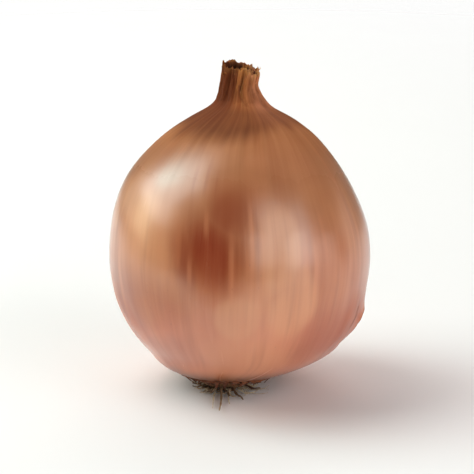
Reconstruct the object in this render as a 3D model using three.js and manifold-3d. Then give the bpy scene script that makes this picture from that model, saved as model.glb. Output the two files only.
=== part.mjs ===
// Boiling onion: a small round dry bulb onion with its withered papery neck and
// its tuft of dried roots. Millimetres, +Z up. The onion stands on the flat
// underside of its crushed root tuft, which lies in the plane z = 0 with its
// middle at the origin, and it leans back a little, towards +Y.
import * as THREE from 'three';
import { mergeVertices } from 'three/addons/utils/BufferGeometryUtils.js';
import Module from 'manifold-3d';

// ---------------------------------------------------------------- dimensions
const LEAN_BACK_DEG = 10;        // lean of the bulb's axis towards +Y
const LEAN_SIDE_DEG = 1.5;        // lean of the bulb's axis towards +X
const BODY_CENTRE = [1.0, 1.7, 22.2]; // middle of the round body
const AROUND = 64;               // facets round the bulb
const NECK_FOLD = 0.085;         // depth of the neck's folds, as a part of its radius
const RIM_RAGGED = 0.65;         // how uneven the dry rim of the neck is
const TUFT_GAP = 0.3;            // clearance between the bulb and its root tuft
const TUFT_HEIGHT = 2.0;         // height of the root tuft at its edge
const TUFT_HALF_X = 4.9;         // half width of the flat underside of the tuft
const TUFT_HALF_Y = 5.5;         // half length of the flat underside of the tuft
const FIBRE_RADIUS = 0.26;       // half thickness of a dried root
const FIBRE_SIDES = 6;
const WELD = 0.004;              // corners closer than this are one corner

// Half section of the bulb about its own axis, from the root end to the bottom
// of the hollow in the neck: [radius, height above the middle of the body].
const SECTION = [
  [0.0, -20.6], [2.6, -20.78], [5.0, -20.72], [7.6, -20.15], [10.3, -19.1],
  [12.9, -17.55], [15.1, -15.6], [17.0, -13.3], [18.5, -10.8], [19.6, -8.2],
  [20.3, -5.5], [20.75, -2.8], [20.88, 0.0], [20.7, 2.7], [20.25, 5.4],
  [19.45, 8.0], [18.4, 10.5], [17.05, 12.9], [15.35, 15.2], [13.45, 17.3],
  [11.45, 19.15], [9.35, 20.7], [7.4, 21.95], [5.7, 22.9], [4.5, 23.8],
  [3.75, 24.9], [3.25, 26.2], [2.95, 27.6], [2.8, 29.0], [2.55, 29.75],
  [2.05, 29.35], [1.6, 28.5], [0.95, 27.85], [0.0, 27.7],
];

// ------------------------------------------------------------------- helpers
const smooth = (a, b, x) => { // 0 at a, 1 at b
  const t = Math.min(1, Math.max(0, (x - a) / (b - a)));
  return t * t * (3 - 2 * t);
};
const bump = (x, middle, width) => Math.exp(-(((x - middle) / width) ** 2));

const wasm = await Module();
wasm.setup();

// A closed three.js geometry as a solid, and back.
function solidOf(geometry) {
  const bare = geometry.index ? geometry.toNonIndexed() : geometry.clone();
  bare.deleteAttribute('normal');
  bare.deleteAttribute('uv');
  const merged = mergeVertices(bare, 1e-4);
  return new wasm.Manifold(new wasm.Mesh({
    numProp: 3,
    vertProperties: new Float32Array(merged.attributes.position.array),
    triVerts: new Uint32Array(merged.index.array),
  }));
}
function geometryOf(solid) {
  const mesh = solid.getMesh();
  const g = new THREE.BufferGeometry();
  g.setAttribute('position', new THREE.BufferAttribute(new Float32Array(mesh.vertProperties), 3));
  g.setIndex(new THREE.BufferAttribute(new Uint32Array(mesh.triVerts), 1));
  // corners that a cut left almost on top of each other become one corner
  const m = mergeVertices(g, WELD);
  const kept = [];
  for (let t = 0; t < m.index.count; t += 3) {
    const [a, b, c] = [m.index.getX(t), m.index.getX(t + 1), m.index.getX(t + 2)];
    if (a !== b && b !== c && a !== c) kept.push(a, b, c);
  }
  m.setIndex(kept);
  m.computeVertexNormals();
  return m;
}

// How the onion departs from a turned shape. p is a point in the bulb's own
// frame: Z along its axis, 0 at the middle of the body.
function grow(p) {
  const r = Math.hypot(p.x, p.y);
  const a = Math.atan2(p.y, p.x);
  const w = p.z;
  const inNeck = smooth(21.0, 26.0, w);
  const inBody = 1 - inNeck;
  let k = 1;
  // slightly lobed body, fuller at the left shoulder and at the lower right
  k += inBody * (0.006 * Math.cos(2 * a + 0.7) + 0.005 * Math.cos(3 * a - 0.6));
  k += 0.016 * bump(w, -10.5, 4.0) * Math.pow(Math.max(0, Math.cos(a + 0.15)), 6);
  // folds of the withered neck, twisting a little as they rise
  const turn = 0.045 * (w - 21);
  k += inNeck * NECK_FOLD * (Math.cos(5 * (a - turn) + 0.9) + 0.7 * Math.cos(8 * (a - turn) - 1.3)
    + 0.35 * Math.cos(3 * (a - turn) + 2.1));
  const x = r * k * Math.cos(a);
  const y = r * k * Math.sin(a);
  // uneven rim of the neck
  const rim = smooth(27.6, 29.7, w) * smooth(0.4, 2.2, r);
  const z = w + rim * RIM_RAGGED * (0.6 * Math.cos(3 * a + 0.5) + 0.45 * Math.cos(7 * a - 1.0)
    + 0.3 * Math.cos(11 * a + 2.0));
  // the middle line of the bulb is not straight
  const shiftX = -0.6 * bump(w, 12.5, 7.0) - 0.75 * smooth(21, 27, w) - 1.5 * smooth(-16, -20.6, w);
  const shiftY = -0.20 * bump(w, 4.0, 12.0) + 0.25 * smooth(22, 31, w);
  return new THREE.Vector3(x + shiftX * smooth(0, 3, r), y + shiftY * smooth(0, 3, r), z);
}

const place = new THREE.Matrix4()
  .makeTranslation(...BODY_CENTRE)
  .multiply(new THREE.Matrix4().makeRotationFromEuler(new THREE.Euler(
    THREE.MathUtils.degToRad(-LEAN_BACK_DEG), THREE.MathUtils.degToRad(LEAN_SIDE_DEG), 0, 'XYZ')));

// The bulb as a turned solid, grown out of round. outset grows it all round.
function bulbGeometry(around, outset = 0) {
  const points = SECTION.map(([r, w]) => new THREE.Vector2(r, w));
  if (outset) {
    const moved = points.map((q, i) => {
      const b = points[Math.max(0, i - 1)];
      const c = points[Math.min(points.length - 1, i + 1)];
      const t = new THREE.Vector2().subVectors(c, b).normalize();
      return new THREE.Vector2(q.x + t.y * outset, q.y - t.x * outset);
    }).slice(0, 13);
    moved[0] = new THREE.Vector2(0, points[0].y - outset * 1.05);
    moved.push(new THREE.Vector2(0, points[12].y));
    return shaped(new THREE.LatheGeometry(moved, around));
  }
  return shaped(new THREE.LatheGeometry(points, around));
}
// LatheGeometry turns its profile about Y; stand it up on Z and grow it.
function shaped(g) {
  g.rotateX(Math.PI / 2);
  g.deleteAttribute('normal');
  g.deleteAttribute('uv');
  const m = mergeVertices(g, 1e-4);
  const pos = m.attributes.position;
  for (let i = 0; i < pos.count; i += 1) {
    const q = grow(new THREE.Vector3().fromBufferAttribute(pos, i)).applyMatrix4(place);
    pos.setXYZ(i, q.x, q.y, q.z);
  }
  m.computeVertexNormals();
  return m;
}

// ---------------------------------------------------------------- root tuft
// The basal plate and the mat of crushed roots under it: an uneven disc with a
// flat underside, dished on top to take the round end of the bulb.
function padGeometry() {
  const shape = new THREE.Shape();
  const n = 44;
  for (let i = 0; i < n; i += 1) {
    const a = (i / n) * Math.PI * 2;
    const k = 1 + 0.035 * Math.cos(5 * a + 1) + 0.03 * Math.cos(9 * a - 0.4) + 0.02 * Math.cos(14 * a);
    const x = TUFT_HALF_X * k * Math.cos(a);
    const y = TUFT_HALF_Y * k * Math.sin(a);
    if (i === 0) shape.moveTo(x, y); else shape.lineTo(x, y);
  }
  shape.closePath();
  return new THREE.ExtrudeGeometry(shape, { depth: TUFT_HEIGHT, bevelEnabled: false, curveSegments: 1 });
}

// One dried root: [bearing in degrees, reach, bend sideways, height of its tip]
const FIBRES = [
  [-103, 12.0, 0.5, 0.35], [-92, 8.2, -1.1, 0.9], [-114, 9.0, 1.2, 0.35], [-126, 8.2, -1.3, 0.6],
  [-135, 9.7, 1.1, 0.35], [-150, 8.2, -1.0, 1.1], [-166, 9.2, 1.4, 0.35], [176, 8.0, -1.2, 0.7],
  [158, 8.9, 1.0, 0.35], [138, 7.9, -1.1, 0.35], [116, 8.6, 1.2, 0.6], [94, 7.8, -0.9, 0.35],
  [70, 8.8, 1.1, 0.35], [47, 8.1, -1.3, 0.7], [24, 9.0, 1.0, 0.35], [4, 8.3, -1.2, 0.9],
  [-16, 9.7, 1.3, 0.35], [-33, 8.4, -1.4, 1.0], [-49, 10.2, 1.2, 0.35], [-64, 8.8, -1.0, 0.6],
  [-78, 9.5, 1.0, 0.35],
];
function fibreGeometry([bearing, reach, bend, tip]) {
  const a = THREE.MathUtils.degToRad(bearing);
  const out = new THREE.Vector3(Math.cos(a), Math.sin(a), 0);
  const side = new THREE.Vector3(-Math.sin(a), Math.cos(a), 0);
  const at = (d, s, z) => new THREE.Vector3()
    .addScaledVector(out, d).addScaledVector(side, s).add(new THREE.Vector3(0, 0, z));
  const start = 3.9;
  const run = reach - start;
  const path = new THREE.CatmullRomCurve3([
    at(start, 0, 0.75), at(start + run * 0.28, bend * 0.25, 0.72),
    at(start + run * 0.6, bend * 0.85, 0.42), at(start + run * 0.83, bend * 0.9, 0.36),
    at(reach, bend * 0.45, tip),
  ], false, 'centripetal');
  const section = new THREE.Shape();
  for (let i = 0; i < FIBRE_SIDES; i += 1) {
    const b = ((i + 0.5) / FIBRE_SIDES) * Math.PI * 2;
    const x = FIBRE_RADIUS * Math.cos(b);
    const y = FIBRE_RADIUS * Math.sin(b);
    if (i === 0) section.moveTo(x, y); else section.lineTo(x, y);
  }
  section.closePath();
  return new THREE.ExtrudeGeometry(section, { steps: 9, bevelEnabled: false, extrudePath: path, curveSegments: 1 });
}

function tuftGeometry() {
  let solid = solidOf(padGeometry());
  for (const f of FIBRES) solid = solid.add(solidOf(fibreGeometry(f)));
  solid = solid.subtract(solidOf(bulbGeometry(40, TUFT_GAP)));
  return geometryOf(solid);
}

// ------------------------------------------------------------------ assembly
const onion = new THREE.Group();
onion.name = 'boiling_onion';

const bulb = new THREE.Mesh(bulbGeometry(AROUND), new THREE.MeshStandardMaterial({
  color: 0xb9754f, roughness: 0.34, metalness: 0,
}));
bulb.name = 'bulb';
onion.add(bulb);

const tuft = new THREE.Mesh(tuftGeometry(), new THREE.MeshStandardMaterial({
  color: 0x6b4a2c, roughness: 0.85, metalness: 0,
}));
tuft.name = 'root_tuft';
onion.add(tuft);

export default onion;
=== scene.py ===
# Boiling onion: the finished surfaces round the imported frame. Blender 4.5, metres.
import math

import bpy
import numpy as np
from mathutils import Matrix, Vector


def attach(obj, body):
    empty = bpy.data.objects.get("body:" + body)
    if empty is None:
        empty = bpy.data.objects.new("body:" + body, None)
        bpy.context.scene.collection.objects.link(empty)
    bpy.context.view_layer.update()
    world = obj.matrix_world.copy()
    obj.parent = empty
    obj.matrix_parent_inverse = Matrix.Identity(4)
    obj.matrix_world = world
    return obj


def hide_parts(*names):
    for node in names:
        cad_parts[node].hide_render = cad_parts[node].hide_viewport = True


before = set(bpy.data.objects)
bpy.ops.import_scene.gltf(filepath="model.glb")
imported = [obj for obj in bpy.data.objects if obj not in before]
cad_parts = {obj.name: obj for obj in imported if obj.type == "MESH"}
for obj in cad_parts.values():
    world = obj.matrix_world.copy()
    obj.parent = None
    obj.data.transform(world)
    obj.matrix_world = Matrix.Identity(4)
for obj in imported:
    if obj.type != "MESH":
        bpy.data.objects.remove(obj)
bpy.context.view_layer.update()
MM = 0.001

# --------------------------------------------------------------------------
# Dimensions shared with the CAD part, in millimetres
# --------------------------------------------------------------------------
LEAN_BACK_DEG = 10.0
LEAN_SIDE_DEG = 1.5
BODY_CENTRE = np.array([1.0, 1.7, 22.2])
RIM_RAGGED = 0.65
# the section of the bulb from the root end to the neck: [radius, height over the middle]
BODY_SECTION = [
    (0.0, -20.6), (2.6, -20.78), (5.0, -20.72), (7.6, -20.15), (10.3, -19.1),
    (12.9, -17.55), (15.1, -15.6), (17.0, -13.3), (18.5, -10.8), (19.6, -8.2),
    (20.3, -5.5), (20.75, -2.8), (20.88, 0.0), (20.7, 2.7), (20.25, 5.4),
    (19.45, 8.0), (18.4, 10.5), (17.05, 12.9), (15.35, 15.2), (13.45, 17.3),
    (11.45, 19.15), (9.35, 20.7), (7.4, 21.95), (5.7, 22.9), (4.5, 23.8),
    (3.75, 24.9), (3.25, 26.2), (2.95, 27.6), (2.82, 28.9),
]
# the thin dry rim and the hollow inside it
RIM_SECTION = [(2.74, 29.55), (2.62, 29.82), (2.46, 29.6), (2.3, 28.6), (2.1, 27.2), (1.7, 26.1), (0.8, 25.5), (0.0, 25.4)]

PLACE = (
    Matrix.Translation(Vector(BODY_CENTRE))
    @ Matrix.Rotation(math.radians(-LEAN_BACK_DEG), 4, "X")
    @ Matrix.Rotation(math.radians(LEAN_SIDE_DEG), 4, "Y")
)
P3 = np.array([[PLACE[i][j] for j in range(3)] for i in range(3)])


def to_row(p):
    """Points in the bulb's own frame (mm) to the row frame (m)."""
    return (np.asarray(p) @ P3.T + BODY_CENTRE) * MM


def to_bulb(p):
    """Points in the row frame (mm) to the bulb's own frame (mm)."""
    return (np.asarray(p) - BODY_CENTRE) @ P3


# --------------------------------------------------------------------------
# Small numeric helpers
# --------------------------------------------------------------------------
def smooth(a, b, x):
    t = np.clip((x - a) / (b - a), 0.0, 1.0)
    return t * t * (3 - 2 * t)


def bump(x, middle, width):
    return np.exp(-(((x - middle) / width) ** 2))


def wrap(a):
    return (a + math.pi) % (2 * math.pi) - math.pi


_perm = np.random.RandomState(7).permutation(256)
_perm = np.concatenate([_perm, _perm, _perm])
_grad = np.random.RandomState(11).normal(size=(256, 3))
_grad /= np.linalg.norm(_grad, axis=1, keepdims=True)


def perlin(x, y, z, seed=0):
    """Gradient noise, about -1 to 1."""
    x, y, z = np.broadcast_arrays(x, y, z)
    xi, yi, zi = np.floor(x).astype(int), np.floor(y).astype(int), np.floor(z).astype(int)
    xf, yf, zf = x - xi, y - yi, z - zi
    xi, yi, zi = (xi + seed * 37) & 255, (yi + seed * 17) & 255, (zi + seed * 59) & 255

    def fade(t):
        return t * t * t * (t * (t * 6 - 15) + 10)

    u, v, w = fade(xf), fade(yf), fade(zf)

    def corner(i, j, k):
        h = _perm[_perm[_perm[(xi + i) & 255] + ((yi + j) & 255)] + ((zi + k) & 255)]
        g = _grad[h]
        return g[..., 0] * (xf - i) + g[..., 1] * (yf - j) + g[..., 2] * (zf - k)

    def lerp(a, b, t):
        return a + t * (b - a)

    x00 = lerp(corner(0, 0, 0), corner(1, 0, 0), u)
    x10 = lerp(corner(0, 1, 0), corner(1, 1, 0), u)
    x01 = lerp(corner(0, 0, 1), corner(1, 0, 1), u)
    x11 = lerp(corner(0, 1, 1), corner(1, 1, 1), u)
    return 1.6 * lerp(lerp(x00, x10, v), lerp(x01, x11, v), w)


def stripes(a, s, k, stretch, seed=0):
    """Noise drawn out from root to neck: a is the bearing, s the distance along the skin in mm."""
    return perlin(k * np.cos(a), k * np.sin(a), s * stretch, seed)


def spline(points):
    """A smooth line through the points, as a function of the distance along it."""
    pts = np.array(points, float)
    d = np.concatenate([[0], np.cumsum(np.linalg.norm(np.diff(pts, axis=0), axis=1))])
    n = len(d)
    A = np.zeros((n, n))
    B = np.zeros((n, pts.shape[1]))
    A[0, 0] = A[-1, -1] = 1.0
    h = np.diff(d)
    for i in range(1, n - 1):
        A[i, i - 1], A[i, i], A[i, i + 1] = h[i - 1], 2 * (h[i - 1] + h[i]), h[i]
        B[i] = 6 * ((pts[i + 1] - pts[i]) / h[i] - (pts[i] - pts[i - 1]) / h[i - 1])
    M = np.linalg.solve(A, B)

    def at(s):
        s = np.clip(s, 0, d[-1])
        i = np.clip(np.searchsorted(d, s, side="right") - 1, 0, n - 2)
        t0, t1 = (d[i + 1] - s)[..., None], (s - d[i])[..., None]
        hi = h[i][..., None]
        return (
            M[i] * t0**3 / (6 * hi)
            + M[i + 1] * t1**3 / (6 * hi)
            + (pts[i] / hi - M[i] * hi / 6) * t0
            + (pts[i + 1] / hi - M[i + 1] * hi / 6) * t1
        )

    return at, d


PROFILE, PROFILE_D = spline(BODY_SECTION + RIM_SECTION)
S_END = PROFILE_D[-1]
S_RIM = PROFILE_D[len(BODY_SECTION) + 1]
S_NECK = PROFILE_D[21]
_s = np.linspace(PROFILE_D[2], PROFILE_D[28], 900)
_rw = PROFILE(_s)
W_TABLE, R_TABLE, S_TABLE = _rw[:, 1], _rw[:, 0], _s


def s_at(w):
    """Distance along the skin at height w."""
    return np.interp(w, W_TABLE, S_TABLE)


# --------------------------------------------------------------------------
# The shape of the skin
# --------------------------------------------------------------------------
# creases that run down the withered neck: bearing, half width (rad), depth (mm), height where each starts, drift
CREASES = [
    (-128, 0.15, 0.62, 21.6, 0.020), (-106, 0.07, 0.22, 23.5, -0.015), (-84, 0.10, 0.40, 23.2, 0.030),
    (-55, 0.15, 0.34, 21.8, 0.045), (-24, 0.18, 0.55, 20.8, 0.030), (8, 0.09, 0.26, 22.8, -0.020),
    (31, 0.17, 0.50, 21.4, 0.020), (66, 0.10, 0.30, 23.4, 0.050), (97, 0.19, 0.58, 21.2, 0.010),
    (126, 0.08, 0.24, 22.6, -0.020), (151, 0.16, 0.46, 21.0, 0.030), (183, 0.11, 0.34, 22.9, 0.000),
    (207, 0.15, 0.40, 21.9, -0.020),
]


def grow(r, a, w):
    """How the onion departs from a turned shape: the same rule as in the CAD part, without its plain neck folds."""
    in_body = 1 - smooth(21.0, 26.0, w)
    k = 1 + in_body * (0.006 * np.cos(2 * a + 0.7) + 0.005 * np.cos(3 * a - 0.6))
    k = k + 0.016 * bump(w, -10.5, 4.0) * np.maximum(0, np.cos(a + 0.15)) ** 6
    x, y = r * k * np.cos(a), r * k * np.sin(a)
    sx = -0.6 * bump(w, 12.5, 7.0) - 0.75 * smooth(21, 27, w) - 1.5 * smooth(-16, -20.6, w)
    sy = -0.20 * bump(w, 4.0, 12.0) + 0.25 * smooth(22, 31, w)
    f = smooth(0, 3, r)
    return np.stack([x + sx * f, y + sy * f, w + 0 * x], -1)


def fold_lines(a, w):
    f = 0 * (a + w)
    for deg, half, depth, start, drift in CREASES:
        d = wrap(a - math.radians(deg) - drift * (w - 26)) / (half * (1 + 0.5 * smooth(28, 22, w)))
        f = f - depth * smooth(start, start + 3.6, w) / (1 + d * d) ** 1.4
    return f + 0.04 * smooth(21.5, 26, w)


def displace(p, n, a, s, r, w, inside):
    """Small shape of the skin: slow waves and ribs on the body, creases and wrinkles on the neck."""
    er = np.stack([np.cos(a) + 0 * w, np.sin(a) + 0 * w, 0 * (a + w)], -1)
    x, y, z = p[..., 0], p[..., 1], p[..., 2]
    body = smooth(0.5, 6.0, r) * (1 - smooth(19.5, 23.5, w))
    rib = 1 - 0.6 * smooth(4, 16, w)
    d = body * (
        0.11 * perlin(x / 11, y / 11, z / 13, 3)
        + rib * 0.030 * stripes(a, s, 4.2, 0.030, 1)
        + rib * 0.011 * stripes(a, s, 11.0, 0.035, 2)
        + rib * 0.0025 * stripes(a, s, 24.0, 0.05, 4)
    )
    aa = a - 0.045 * (w - 21)
    # soft pleats where the shoulder gathers into the neck
    gather = smooth(16.5, 23.0, w) * (1 - smooth(24.0, 27.0, w))
    d = d + gather * (0.07 * stripes(aa, s, 4.2, 0.05, 5) + 0.035 * stripes(aa, s, 9.0, 0.07, 6))
    # puckers round the root end
    root = bump(r, 6.4, 2.6) * (w < -10)
    d = d + root * (0.10 * stripes(a, s, 6.0, 0.1, 12) + 0.05 * stripes(a, s, 15.0, 0.2, 13))
    p = p + n * (d * np.where(inside, 0.3, 1.0))[..., None]
    # the neck: it has collapsed into folds, a little wider than deep
    neck = smooth(21.8, 25.8, w)
    e = fold_lines(a, w) - 0.42 * bump(w, 26.6, 1.7) * np.maximum(0, np.cos(a + 0.25)) ** 2 + neck * (
        0.20 * np.cos(2 * a + 0.3) + 0.13 * np.cos(3 * a + 1.1)
        + 0.16 * stripes(aa, s, 1.7, 0.10, 7)
        + 0.075 * stripes(aa, s, 5.5, 0.18, 8)
        + 0.035 * stripes(aa, s, 12.0, 0.4, 9)
        + 0.05 * perlin(x / 1.3, y / 1.3, z / 1.6, 10)
    )
    p = p + er * (e * np.where(inside, smooth(0.2, 1.9, r), smooth(1.0, 2.4, r)))[..., None]
    return p


def section_normal(a, s):
    e = 0.05
    t = PROFILE(np.minimum(s + e, S_END)) - PROFILE(np.maximum(s - e, 0))
    t /= np.maximum(np.linalg.norm(t, axis=-1, keepdims=True), 1e-9)
    return np.stack([t[..., 1] * np.cos(a), t[..., 1] * np.sin(a), -t[..., 0]], -1)


def rim_height(a):
    """How far the torn rim stands over or under its mean height."""
    h = 0.35 * np.sin(a) - 0.15
    h = h - 1.25 * bump(wrap(a + 0.35), 0.0, 0.75)  # torn away at the right front
    h = h - 0.30 * bump(wrap(a + 1.75), 0.0, 0.55)  # the front lip
    h = h + 0.55 * bump(wrap(a - 2.5), 0.0, 0.8)
    rag = 0.40 + 0.75 * bump(wrap(a + 0.35), 0.0, 1.1)
    h = h + 0.22 * stripes(a, 0 * a, 2.3, 1, 14) + rag * (0.26 * stripes(a, 0 * a, 6.0, 1, 15) + 0.18 * stripes(a, 0 * a, 14.0, 1, 16))
    return h


def skin_surface(a, s):
    """The outer skin at bearing a and distance s along the section, in the bulb's frame, in mm."""
    rw = PROFILE(s)
    r, w = rw[..., 0], rw[..., 1]
    inside = s > S_RIM
    p = displace(grow(r, a, w), section_normal(a, s), a, s, r, w, inside)
    rim = smooth(26.9, 29.6, w) * smooth(0.5, 1.9, r)
    p[..., 2] += rim * rim_height(a)
    return p


def neck_wall(a, w):
    """The neck's outer wall, carried on above its rim, and the way out of it."""
    w0 = np.minimum(w, 28.9)
    r = np.interp(w0, W_TABLE, R_TABLE)
    s = s_at(w0) + (w - w0)
    n = np.stack([np.cos(a) + 0 * w, np.sin(a) + 0 * w, 0 * (a + w)], -1)
    r = r * (1 - 0.10 * smooth(27.5, 31, w))
    p = displace(grow(r, a, w), n, a, s, r, w, np.zeros(np.shape(r), bool))
    return p, n


# --------------------------------------------------------------------------
# Where the outer skin is torn away: closed lines of [bearing in degrees, height]
# --------------------------------------------------------------------------
TEARS = {
    "low": [
        (1, -20.3), (-1, -18.6), (-4, -15.5), (-7, -12.8), (-8.5, -10.6), (-8, -9.3), (-4.5, -8.5), (3, -8.9), (12, -8.6), (20, -7.2),
        (28, -6.6), (36, -4.4), (44, -3.6), (52, -4.6), (58, -3.4), (65, -5.6), (70, -8.8), (78, -10.6),
        (82, -14.0), (88, -17.0), (92, -20.3),
    ],
}
TEAR_OPEN = {"low": True}  # an open line runs into the root end


def tear_line(name, n=240):
    """The torn line as bearings (rad) and distances along the skin."""
    pts = np.array(TEARS[name], float)
    if not TEAR_OPEN[name]:
        pts = np.concatenate([pts, pts[:1]])
    q = np.stack([np.radians(pts[:, 0]) * 19.0, pts[:, 1]], 1)
    d = np.concatenate([[0], np.cumsum(np.linalg.norm(np.diff(q, axis=0), axis=1))])
    t = np.linspace(0, d[-1], n)
    a = np.interp(t, d, q[:, 0] / 19.0)
    w = np.interp(t, d, q[:, 1])
    return a, s_at(w), t


def inside_line(a, s, la, ls):
    """Whether points (bearing, distance) lie inside the closed line."""
    x, y = a[..., None], s[..., None]
    x1, y1 = la, ls
    x2, y2 = np.roll(la, -1), np.roll(ls, -1)
    cross = ((y1 > y) != (y2 > y)) & (x < (x2 - x1) * (y - y1) / np.where(y2 == y1, 1e-9, y2 - y1) + x1)
    return cross.sum(-1) % 2 == 1


def tear_distance(a, s, p):
    """Signed distance in mm to the nearest torn line, negative where the outer skin is missing."""
    best = np.full(a.shape, 99.0)
    for name in TEARS:
        la, ls, _ = tear_line(name, 160)
        lp = skin_surface(la, ls)
        mid = 0.5 * (la.min() + la.max())
        aw = wrap(a - mid) + mid
        near = (np.abs(aw - mid) < 0.5 * (la.max() - la.min()) + 0.5) & (s > ls.min() - 8) & (s < ls.max() + 8)
        if TEAR_OPEN[name]:
            near = near | (s < ls.min() + 3)
        idx = np.nonzero(near)
        if not len(idx[0]):
            continue
        q = p[idx]
        dist = np.full(len(q), 99.0)
        for i in range(len(lp)):
            dist = np.minimum(dist, np.linalg.norm(q - lp[i], axis=-1))
        ca, cs = (np.append(la, [la[-1], la[0]]), np.append(ls, [0.0, 0.0])) if TEAR_OPEN[name] else (la, ls)
        hit = inside_line(aw[idx], s[idx], ca, cs)
        best[idx] = np.minimum(best[idx], np.where(hit, -dist, dist))
    return best


INSET = 0.30  # thickness of the loose outer skin over the one below


# --------------------------------------------------------------------------
# Mesh building
# --------------------------------------------------------------------------
def new_mesh(name, verts, faces, uvs=None, attrs=None):
    me = bpy.data.meshes.new(name)
    me.from_pydata([tuple(v) for v in np.asarray(verts, float)], [], faces)
    me.update()
    if uvs is not None:
        layer = me.uv_layers.new(name="OFBake")
        layer.data.foreach_set("uv", np.asarray(uvs, np.float32).ravel())
    for key, val in (attrs or {}).items():
        val = np.asarray(val, np.float32)
        kind = "FLOAT" if val.ndim == 1 else "FLOAT_VECTOR"
        at = me.attributes.new(key, kind, "POINT")
        at.data.foreach_set("value" if kind == "FLOAT" else "vector", val.ravel())
    me.polygons.foreach_set("use_smooth", [True] * len(me.polygons))
    ob = bpy.data.objects.new(name, me)
    bpy.context.scene.collection.objects.link(ob)
    return ob


def grid_faces(nv, nu, wrap_round=True):
    """Quads of a grid of nv rows and nu columns, with the grid corner of each face corner."""
    faces, corners = [], []
    cols = nu if wrap_round else nu - 1
    for j in range(nv - 1):
        for i in range(cols):
            i2 = (i + 1) % nu
            faces.append((j * nu + i, j * nu + i2, (j + 1) * nu + i2, (j + 1) * nu + i))
            corners.append(((j, i), (j, i + 1), (j + 1, i + 1), (j + 1, i)))
    return faces, corners


class Bag:
    """Gathers several closed bodies, with their attributes, into one mesh."""

    def __init__(self):
        self.v, self.f, self.at, self.n = [], [], {}, 0

    def add(self, verts, faces, **attrs):
        self.v.append(verts)
        self.f += [tuple(i + self.n for i in q) for q in faces]
        for k, val in attrs.items():
            val = np.asarray(val, float)
            if val.ndim == 0:
                val = np.full(len(verts), float(val))
            self.at.setdefault(k, []).append(val)
        self.n += len(verts)

    def make(self, name, in_bulb=False):
        v = np.concatenate(self.v)
        v = to_row(v) if in_bulb else v * MM
        return new_mesh(name, v, self.f, None, {k: np.concatenate(x) for k, x in self.at.items()})


def sheet(P, thick, closed=False):
    """A thin closed body round the grid P (rows, columns, 3): its outer face is P, its inner face thick below it.

    The way out is that of (along a row) x (down the columns); rows join up at their ends if closed."""
    nv, nu = P.shape[:2]
    if closed:
        du = np.roll(P, -1, 1) - np.roll(P, 1, 1)
    else:
        du = np.gradient(P, axis=1)
    dv = np.gradient(P, axis=0)
    n = np.cross(du, dv)
    n /= np.maximum(np.linalg.norm(n, axis=-1, keepdims=True), 1e-9)
    Q = P - n * np.broadcast_to(thick, (nv, nu))[..., None]
    verts = np.concatenate([P.reshape(-1, 3), Q.reshape(-1, 3)])
    m = nv * nu
    faces = []
    cols = nu if closed else nu - 1
    for j in range(nv - 1):
        for i in range(cols):
            a, b = j * nu + i, j * nu + (i + 1) % nu
            c, d = b + nu, a + nu
            faces.append((a, b, c, d))
            faces.append((m + d, m + c, m + b, m + a))
    for i in range(cols):
        a, b = i, (i + 1) % nu
        faces.append((b, a, m + a, m + b))
        a, b = (nv - 1) * nu + i, (nv - 1) * nu + (i + 1) % nu
        faces.append((a, b, m + b, m + a))
    if not closed:
        for j in range(nv - 1):
            a, b = j * nu, (j + 1) * nu
            faces.append((a, b, m + b, m + a))
            a, b = j * nu + nu - 1, (j + 1) * nu + nu - 1
            faces.append((b, a, m + a, m + b))
    return verts, faces


def tube(path, radii, sides=6, phase=0.0, flat=1.0):
    """A closed tapering body along path (mm); flat below 1 makes it a ribbon."""
    path = np.asarray(path, float)
    n = len(path)
    tang = np.gradient(path, axis=0)
    tang /= np.maximum(np.linalg.norm(tang, axis=1, keepdims=True), 1e-9)
    up = np.array([0.0, 0.0, 1.0]) if abs(tang[0][2]) < 0.9 else np.array([1.0, 0, 0])
    b = np.arange(sides) / sides * 2 * math.pi + phase
    verts, faces = [], []
    u = np.cross(tang[0], up)
    u /= np.linalg.norm(u)
    for i in range(n):
        u = u - tang[i] * np.dot(u, tang[i])
        u /= np.linalg.norm(u)
        v = np.cross(tang[i], u)
        verts.append(path[i] + radii[i] * (np.cos(b)[:, None] * u + flat * np.sin(b)[:, None] * v))
    for i in range(n - 1):
        for k in range(sides):
            k2 = (k + 1) % sides
            faces.append((i * sides + k, i * sides + k2, (i + 1) * sides + k2, (i + 1) * sides + k))
    faces.append(tuple(range(sides - 1, -1, -1)))
    faces.append(tuple((n - 1) * sides + k for k in range(sides)))
    return np.concatenate(verts), faces


def ribbon(path, half_width, thick, side):
    """A closed thin strip along path: side is the direction of its width at each point."""
    path = np.asarray(path, float)
    tang = np.gradient(path, axis=0)
    tang /= np.maximum(np.linalg.norm(tang, axis=1, keepdims=True), 1e-9)
    s = side - tang * (side * tang).sum(1, keepdims=True)
    s /= np.maximum(np.linalg.norm(s, axis=1, keepdims=True), 1e-9)
    n = np.cross(tang, s)
    hw, th = half_width[:, None], thick[:, None] / 2
    # five corners across, cupped a little
    prof = [(-1.0, 0.0), (-0.5, 0.18), (0.0, 0.25), (0.5, 0.18), (1.0, 0.0)]
    top = [path + s * hw * a + n * (hw * b + th) for a, b in prof]
    bot = [path + s * hw * a + n * (hw * b - th) for a, b in prof[::-1]]
    ring = np.stack(top + bot, 1)
    k = ring.shape[1]
    faces = []
    for i in range(len(path) - 1):
        for j in range(k):
            j2 = (j + 1) % k
            faces.append((i * k + j, (i + 1) * k + j, (i + 1) * k + j2, i * k + j2))
    faces.append(tuple(range(k)))
    faces.append(tuple((len(path) - 1) * k + j for j in range(k - 1, -1, -1)))
    return ring.reshape(-1, 3), faces


def srgb(r, g, b):
    def f(c):
        c = c / 255.0
        return c / 12.92 if c <= 0.04045 else ((c + 0.055) / 1.055) ** 2.4

    return (f(r), f(g), f(b), 1.0)


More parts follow.
